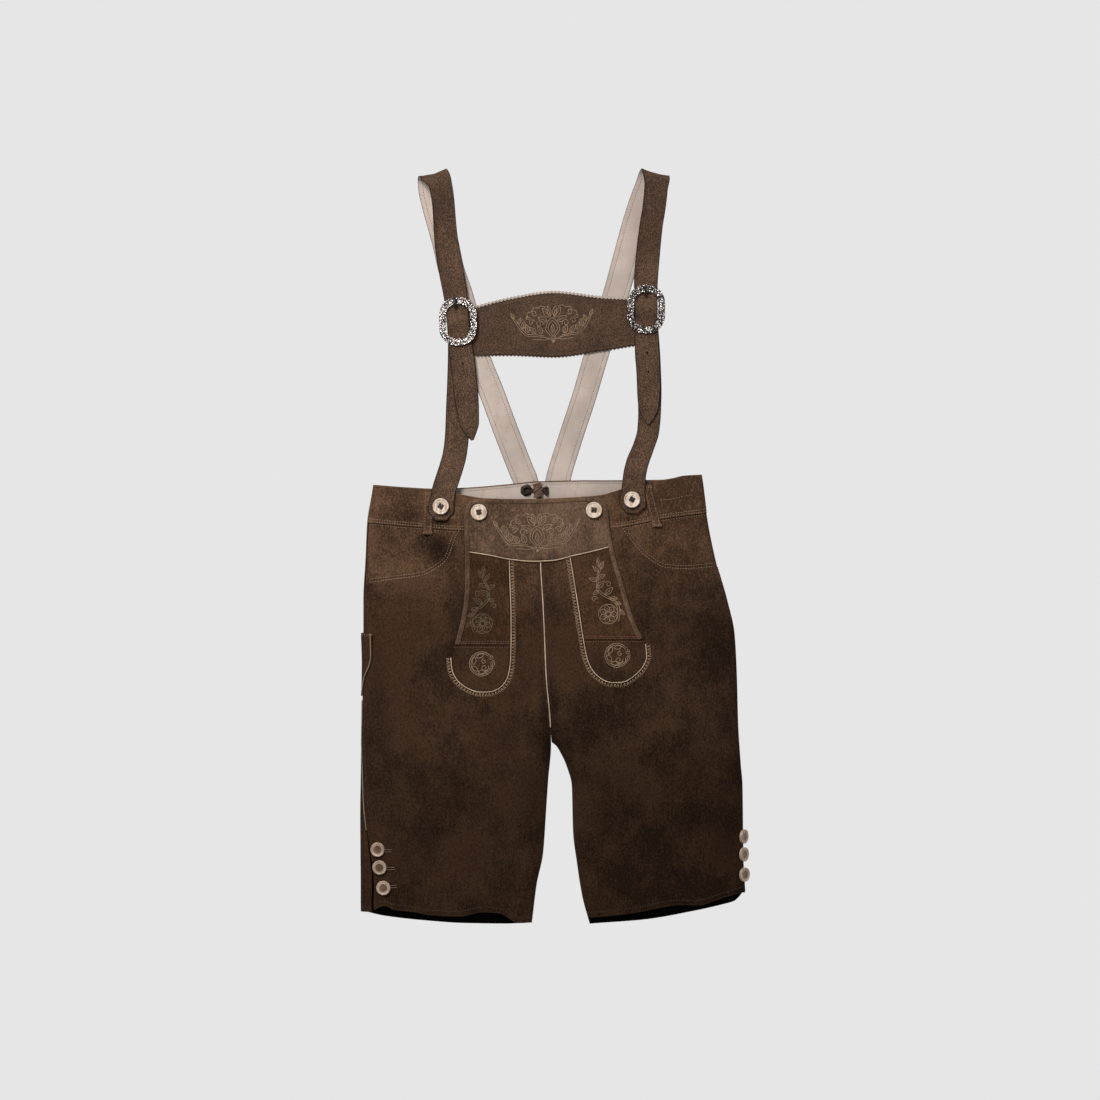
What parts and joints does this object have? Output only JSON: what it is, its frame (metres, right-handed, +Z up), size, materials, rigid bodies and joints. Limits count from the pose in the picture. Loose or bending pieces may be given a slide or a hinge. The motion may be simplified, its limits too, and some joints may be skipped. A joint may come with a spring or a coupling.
{
  "type": "lederhosen",
  "caption": "Suede shorts laid flat, with a drop flap, piping, side pockets, horn buttons, and buckled shoulder straps joined by a chest strap.",
  "frame": {"origin": "the middle of the outline on the floor the garment lies on", "axes": "+Z up, away from the floor; +Y from the hems to the shoulder straps; +X toward the wearer's left, on the viewer's right"},
  "size_m": [0.5056, 0.9788, 0.0298],
  "materials": {
    "suede": "dark brown suede with a soft worn nap",
    "strap_leather": "brown suede, a little lighter",
    "cream_leather": "cream lining leather",
    "piping": "light tan piping",
    "horn": "pale horn, half polished",
    "silver": "antique silver",
    "cord": "dark brown leather lace"
  },
  "bodies": {
    "root": {"back_button_left": "horn", "back_button_right": "horn", "back_lacing_knot": "cord", "back_lacing_loop_left": "cord", "back_lacing_loop_right": "cord", "back_leg_left": "suede", "back_leg_right": "suede", "back_waistband_left": "suede", "back_waistband_right": "suede", "belt_loop_left": "suede", "belt_loop_right": "suede", "buckle_bar_left": "silver", "buckle_bar_right": "silver", "buckle_left": "silver", "buckle_prong_left": "silver", "buckle_prong_right": "silver", "buckle_right": "silver", "centre_piping": "piping", "chest_strap": "strap_leather", "chest_strap_backing": "cream_leather", "flap_binding_left": "suede", "flap_binding_right": "suede", "flap_button_left": "horn", "flap_button_right": "horn", "flap_tip_left": "suede", "flap_tip_right": "suede", "flap_tongue_left": "suede", "flap_tongue_right": "suede", "flap_yoke": "suede", "front_leg_left": "suede", "front_leg_right": "suede", "front_waistband_left": "suede", "front_waistband_right": "suede", "hem_button_left_1": "horn", "hem_button_left_2": "horn", "hem_button_left_3": "horn", "hem_button_right_1": "horn", "hem_button_right_2": "horn", "hem_button_right_3": "horn", "knife_pocket": "suede", "knife_pocket_piping": "piping", "lower_strap_left": "strap_leather", "lower_strap_right": "strap_leather", "pocket_facing_left": "suede", "pocket_facing_right": "suede", "shoulder_strap_left": "strap_leather", "shoulder_strap_right": "strap_leather", "side_piping": "piping", "strap_button_left": "horn", "strap_button_right": "horn", "strap_lining_left": "cream_leather", "strap_lining_right": "cream_leather", "tongue_piping_left": "piping", "tongue_piping_right": "piping", "waistband_facing_left": "cream_leather", "waistband_facing_right": "cream_leather", "yoke_piping": "piping"}
  },
  "joints": []
}
